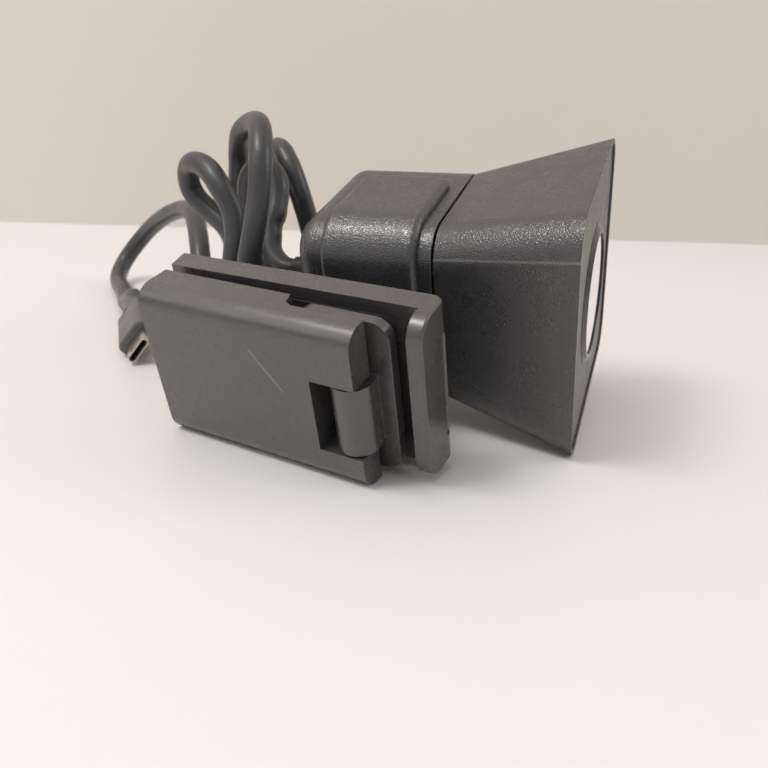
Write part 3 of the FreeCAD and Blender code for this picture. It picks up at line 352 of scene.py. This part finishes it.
def board_green():
    """Solder mask over copper: paler tracks, gold rings and a glassy skin."""
    s = Shader("board")
    grid = s.vector("SNAP", s.place, (0.5, 0.5, 0.5))
    track = s.spread(s.noise(0.5, 1.0, place=grid), 0.5, 0.53)
    body = s.mix(track, (0.008, 0.05, 0.022), (0.02, 0.13, 0.05))
    ring = s.spread(s.cells(0.55, "F1").outputs[0], 0.12, 0.16, 1.0, 0.0)
    body = s.mix(ring, body, (0.6, 0.45, 0.16))
    s.set(Base_Color=body, Roughness=0.3, Coat_Weight=0.6, Normal=s.bump(track, 0.02, strength=0.6))
    return s


def chip():
    """The sensor: a dark package with a glossy active area that shows faint rows."""
    s = Shader("sensor_package")
    rows = s.add("ShaderNodeTexWave", {"bands_direction": "Z"}, Scale=6.0, Distortion=0.4)
    s.link(s.place, rows.inputs["Vector"])
    body = s.mix(rows.outputs[1], (0.02, 0.03, 0.028), (0.05, 0.07, 0.09))
    sheen = s.number("ADD", 0.12, s.number("MULTIPLY", s.noise(1.0), 0.1))
    s.set(Base_Color=body, Roughness=sheen, Coat_Weight=1.0)
    return s


def build_looks():
    """Every material slot of the record, with its material."""
    looks = {
        "head_plastic": head_plastic(),
        "clip_plastic": clip_plastic(),
        "fascia_plastic": speckled(),
        "cable_jacket": jacket(),
        "board": board_green(),
        "sensor_package": chip(),
        "window_glass": clear_glass("window_glass", (0.12, 0.12, 0.13), 0.6),
        "lens_glass": clear_glass("lens_glass", (0.25, 0.2, 0.4)),
        "filter_glass": clear_glass("filter_glass", (0.5, 0.75, 0.7)),
    }
    for name, (colour, roughness, grain, depth) in PLASTICS.items():
        looks[name] = moulded(name, colour, roughness, grain, depth)[0]
    for name, (colour, roughness, streak) in METALS.items():
        looks[name] = metal(name, colour, roughness, streak)
    return looks


def dress_nodes(looks):
    """Give every node the material that the record names for it."""
    slot_of = {part["node"]: part["material_slot"] for part in frame["record"]["subparts"]}
    for name, thing in frame["nodes"].items():
        material = looks[slot_of[name]].material
        if not thing.material_slots:
            thing.data.materials.append(material)
        for place in thing.material_slots:
            place.material = material


# ---------------------------------------------------------------- table, wall, light, camera


def plane(name, corners, material):
    """A flat four-cornered surface of the stage."""
    mesh = bpy.data.meshes.new(name)
    mesh.from_pydata([tuple(c) for c in corners], [], [(0, 1, 2, 3)])
    thing = bpy.data.objects.new(name, mesh)
    bpy.context.scene.collection.objects.link(thing)
    mesh.materials.append(material)


def table_look():
    """White laminate with slow changes of tone."""
    s = Shader("table_top")
    body = s.mix(s.noise(0.004, 3.0), (0.745, 0.73, 0.71), (0.8, 0.785, 0.765))
    relief = s.bump(s.noise(0.6, 3.0), 0.05, strength=0.15)
    s.set(Base_Color=body, Roughness=0.42, Normal=relief)
    return s.material


def wall_look():
    """Pale plaster, seen from the table's side only."""
    s = Shader("wall")
    body = s.mix(s.noise(0.002, 3.0), (0.66, 0.6, 0.53), (0.74, 0.7, 0.64))
    s.set(Base_Color=body, Roughness=0.9)
    clear = s.add("ShaderNodeBsdfTransparent")
    back = s.add("ShaderNodeNewGeometry").outputs["Backfacing"]
    s.finish(s.blend(back, s.bsdf.outputs[0], clear.outputs[0]))
    return s.material


# In metres: how far the table and the wall reach, the wall's height, and two points of the
# table's far edge, where the wall stands, seen from under the head's rim
REACH = 2.5
WALL_HEIGHT = 2.2
FAR_EDGE = (Vector((-0.307, 0.129, 0)), Vector((0.062, 0.266, 0)))


def stage():
    """The table top and the wall along its far edge."""
    corners = [(-REACH, -REACH, 0), (REACH, -REACH, 0), (REACH, REACH, 0), (-REACH, REACH, 0)]
    plane("table_top", corners, table_look())
    below_rim = Vector((RIM.x, RIM.y, 0))
    left, right = (below_rim + place for place in FAR_EDGE)
    run = (right - left).normalized()
    start = left - run * REACH
    end = right + run * REACH
    up = Vector((0, 0, WALL_HEIGHT))
    plane("wall", [start, end, end + up, start + up], wall_look())


def area_light(name, place, target, size, power, colour):
    """A soft rectangular light that faces its target."""
    data = bpy.data.lights.new(name, "AREA")
    data.shape = "RECTANGLE"
    data.size, data.size_y = size
    data.energy = power
    data.color = colour
    lamp = bpy.data.objects.new(name, data)
    lamp.location = place
    lamp.rotation_euler = (target - Vector(place)).to_track_quat("-Z", "Y").to_euler()
    bpy.context.scene.collection.objects.link(lamp)


def lighting():
    """A pale room, a broad ceiling light, a smaller strip for the highlights and two side lights."""
    world = bpy.data.worlds.new("room")
    bpy.context.scene.world = world
    world.use_nodes = True
    back = world.node_tree.nodes["Background"]
    back.inputs["Color"].default_value = (1.0, 0.985, 0.98, 1.0)
    back.inputs["Strength"].default_value = 0.5
    centre = (cad_low + cad_high) / 2
    area_light("ceiling", (-0.2, -0.25, 1.1), centre, (1.3, 0.9), 3.4, (1.0, 0.985, 0.98))
    above = centre + Vector((-0.28, -0.34, 0.8))
    area_light("strip", above, centre, (0.3, 0.22), 3.4, (1.0, 0.975, 0.95))
    area_light("window", (-0.9, -0.7, 0.75), centre, (0.7, 0.7), 2.0, (1.0, 0.96, 0.92))
    area_light("far_side", (0.9, 0.35, 0.6), centre, (0.6, 0.6), 3.0, (1.0, 0.98, 0.96))


# The camera along the head's axes: its place in millimetres, and its right, up and backward ways
EYE = (16.1, -166.0, 89.8)
EYE_AXES = ((0.938, 0.334, -0.091), (-0.119, 0.558, 0.821), (0.325, -0.760, 0.563))
# The point it is focused on, at the clip's near top edge
FOCUS = (-34.0, -34.0, 14.0)


def camera():
    """A close camera with a slightly wide lens, looking down at the near side of the clip."""
    data = bpy.data.cameras.new("camera")
    data.sensor_width = 36.0
    data.lens = 36.95
    data.clip_start = 0.01
    data.clip_end = 20.0
    eye = bpy.data.objects.new("camera", data)
    bpy.context.scene.collection.objects.link(eye)
    axes = Matrix(EYE_AXES).transposed()
    eye.rotation_mode = "QUATERNION"
    eye.rotation_quaternion = (TURN @ axes).to_quaternion().normalized()
    eye.location = from_head(*EYE)
    bpy.context.scene.camera = eye
    focus = bpy.data.objects.new("focus", None)
    focus.location = from_head(*FOCUS)
    bpy.context.scene.collection.objects.link(focus)
    data.dof.use_dof = True
    data.dof.focus_object = focus
    data.dof.aperture_fstop = 36.0


dress_nodes(build_looks())
stage()
lighting()
camera()
bpy.context.scene.view_settings.view_transform = "Standard"
